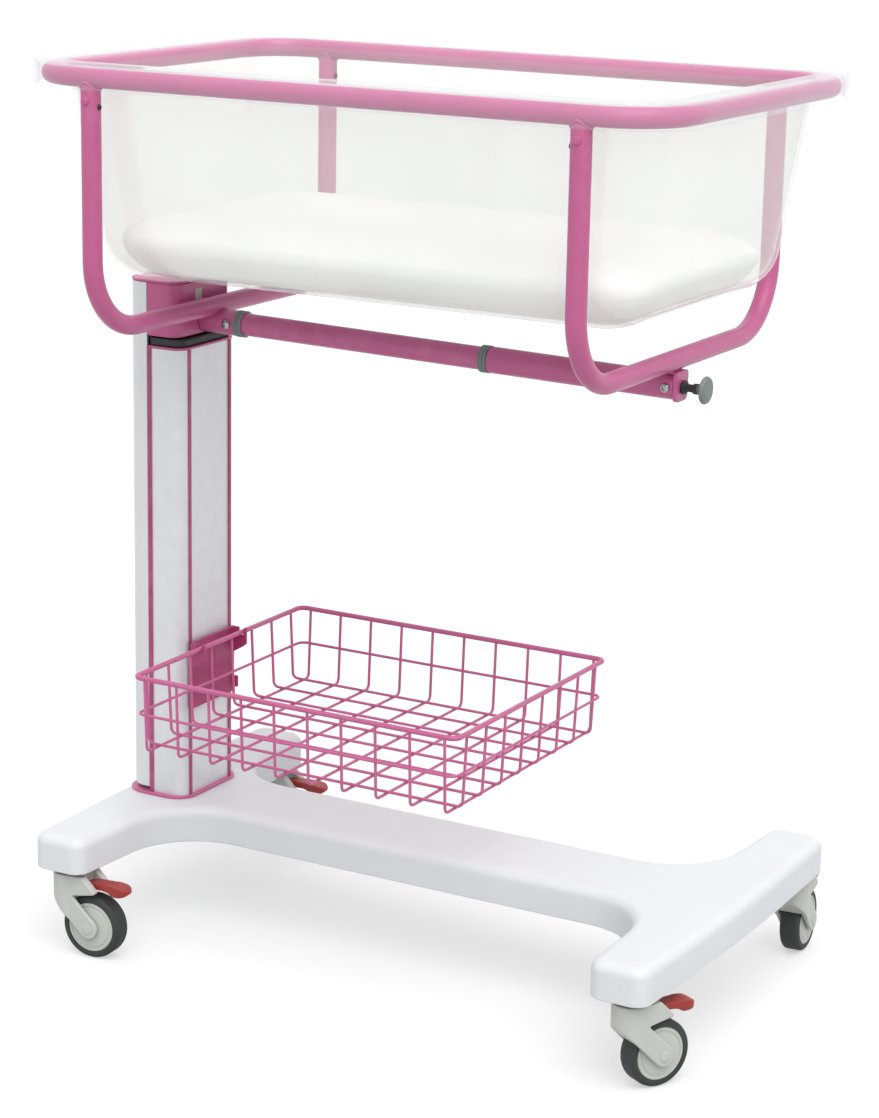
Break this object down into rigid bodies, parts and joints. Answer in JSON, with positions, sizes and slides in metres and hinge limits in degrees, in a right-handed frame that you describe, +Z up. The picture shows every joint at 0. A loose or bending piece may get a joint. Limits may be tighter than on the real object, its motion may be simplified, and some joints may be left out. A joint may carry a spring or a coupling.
{
  "type": "hospital bassinet",
  "caption": "Mobile hospital bassinet: clear tub with mattress in a tilting tube cradle, carried by a lifting column with a wire basket on a wide base with braked castors.",
  "frame": {"origin": "on the floor below the middle of the cradle rim", "axes": "+X along the tub from the column end to the foot end, +Y to the back, +Z up"},
  "size_m": [0.8096, 0.5517, 1.0303],
  "materials": {
    "pink_paint": "satin powder coat",
    "white_cover": "fine satin moulding",
    "silver_profile": "satin anodised",
    "black_plastic": "matte",
    "grey_plastic": "matte",
    "castor_plastic": "satin moulding",
    "tyre_rubber": "matte rubber",
    "brake_red": "semi-gloss moulding",
    "bare_steel": "brushed",
    "white_fabric": "soft woven cover",
    "clear_acrylic": "clear, polished"
  },
  "bodies": {
    "base": {"base_cover": "white_cover", "base_frame": "bare_steel", "column_foot_ring": "pink_paint", "column_profile": "silver_profile", "face_trim_front": "pink_paint", "face_trim_back": "pink_paint", "side_trim_front": "pink_paint", "side_trim_back": "pink_paint", "column_edge_trim": "pink_paint", "column_cap": "black_plastic", "glide_lower": "black_plastic", "glide_upper": "black_plastic", "gas_spring_cylinder": "black_plastic", "basket_bracket": "pink_paint", "castor_stem_front_left": "bare_steel", "castor_stem_front_right": "bare_steel", "castor_stem_back_right": "bare_steel", "castor_stem_back_left": "bare_steel"},
    "mast": {"mast_profile": "silver_profile", "head_bracket": "pink_paint", "head_top_plate": "pink_paint", "cradle_rail": "pink_paint", "gas_spring_rod": "bare_steel"},
    "cradle": {"cradle_rim": "pink_paint", "hoop_head_end": "pink_paint", "hoop_foot_end": "pink_paint", "rear_sleeve": "pink_paint", "front_sleeve": "pink_paint", "rear_bush": "grey_plastic", "front_bush": "grey_plastic", "rear_sleeve_screw": "bare_steel", "front_sleeve_screw": "bare_steel", "beam_end_plate": "pink_paint"},
    "knob": {"lock_knob": "grey_plastic", "knob_stem": "black_plastic"},
    "tub": {"tub": "clear_acrylic"},
    "mattress": {"mattress": "white_fabric"},
    "basket": {"basket": "pink_paint"},
    "castor_front_left": {"castor_fork_front_left": "castor_plastic", "castor_axle_front_left": "castor_plastic"},
    "wheel_front_left": {"wheel_disc_front_left": "castor_plastic", "tyre_front_left": "tyre_rubber"},
    "brake_front_left": {"brake_pedal_front_left": "brake_red"},
    "castor_front_right": {"castor_fork_front_right": "castor_plastic", "castor_axle_front_right": "castor_plastic"},
    "wheel_front_right": {"wheel_disc_front_right": "castor_plastic", "tyre_front_right": "tyre_rubber"},
    "brake_front_right": {"brake_pedal_front_right": "brake_red"},
    "castor_back_right": {"castor_fork_back_right": "castor_plastic", "castor_axle_back_right": "castor_plastic"},
    "wheel_back_right": {"wheel_disc_back_right": "castor_plastic", "tyre_back_right": "tyre_rubber"},
    "brake_back_right": {"brake_pedal_back_right": "brake_red"},
    "castor_back_left": {"castor_fork_back_left": "castor_plastic", "castor_axle_back_left": "castor_plastic"},
    "wheel_back_left": {"wheel_disc_back_left": "castor_plastic", "tyre_back_left": "tyre_rubber"},
    "brake_back_left": {"brake_pedal_back_left": "brake_red"}
  },
  "joints": [
    {"name": "column_lift", "type": "slide", "parent": "base", "child": "mast", "axis": [0, 0, 1], "range_m": [0, 0.25]},
    {"name": "cradle_tilt", "type": "hinge", "parent": "mast", "child": "cradle", "pos_m": [0, 0, 0.7139], "axis": [0.9998, 0, -0.0187], "range_deg": [-8, 8]},
    {"name": "knob_turn", "type": "hinge", "parent": "mast", "child": "knob", "pos_m": [0, 0, 0.7139], "axis": [0.9998, 0, -0.0187], "range_deg": [0, 360]},
    {"name": "tub_lift_out", "type": "slide", "parent": "cradle", "child": "tub", "axis": [0, 0, 1], "range_m": [0, 0.3]},
    {"name": "mattress_lift_out", "type": "slide", "parent": "tub", "child": "mattress", "axis": [0, 0, 1], "range_m": [0, 0.25]},
    {"name": "basket_unhook", "type": "slide", "parent": "base", "child": "basket", "axis": [0, 0, 1], "range_m": [0, 0.02]},
    {"name": "swivel_front_left", "type": "hinge", "parent": "base", "child": "castor_front_left", "pos_m": [-0.352, -0.214, 0.1], "axis": [0, 0, 1], "continuous": true},
    {"name": "roll_front_left", "type": "hinge", "parent": "castor_front_left", "child": "wheel_front_left", "pos_m": [-0.32008, -0.21177, 0.0375], "axis": [-0.0698, 0.9976, 0], "continuous": true},
    {"name": "pedal_front_left", "type": "hinge", "parent": "castor_front_left", "child": "brake_front_left", "pos_m": [-0.32407, -0.21205, 0.087], "axis": [-0.0698, 0.9976, 0], "range_deg": [0, 12]},
    {"name": "swivel_front_right", "type": "hinge", "parent": "base", "child": "castor_front_right", "pos_m": [0.369, -0.214, 0.1], "axis": [0, 0, 1], "continuous": true},
    {"name": "roll_front_right", "type": "hinge", "parent": "castor_front_right", "child": "wheel_front_right", "pos_m": [0.38451, -0.18601, 0.0375], "axis": [-0.8746, 0.4848, 0], "continuous": true},
    {"name": "pedal_front_right", "type": "hinge", "parent": "castor_front_right", "child": "brake_front_right", "pos_m": [0.38257, -0.18951, 0.087], "axis": [-0.8746, 0.4848, 0], "range_deg": [0, 12]},
    {"name": "swivel_back_right", "type": "hinge", "parent": "base", "child": "castor_back_right", "pos_m": [0.369, 0.214, 0.1], "axis": [0, 0, 1], "continuous": true},
    {"name": "roll_back_right", "type": "hinge", "parent": "castor_back_right", "child": "wheel_back_right", "pos_m": [0.36621, 0.24588, 0.0375], "axis": [-0.9962, -0.0872, 0], "continuous": true},
    {"name": "pedal_back_right", "type": "hinge", "parent": "castor_back_right", "child": "brake_back_right", "pos_m": [0.36656, 0.24189, 0.087], "axis": [-0.9962, -0.0872, 0], "range_deg": [0, 12]},
    {"name": "swivel_back_left", "type": "hinge", "parent": "base", "child": "castor_back_left", "pos_m": [-0.352, 0.214, 0.1], "axis": [0, 0, 1], "continuous": true},
    {"name": "roll_back_left", "type": "hinge", "parent": "castor_back_left", "child": "wheel_back_left", "pos_m": [-0.32012, 0.21679, 0.0375], "axis": [-0.0872, 0.9962, 0], "continuous": true},
    {"name": "pedal_back_left", "type": "hinge", "parent": "castor_back_left", "child": "brake_back_left", "pos_m": [-0.32411, 0.21644, 0.087], "axis": [-0.0872, 0.9962, 0], "range_deg": [0, 12]}
  ]
}
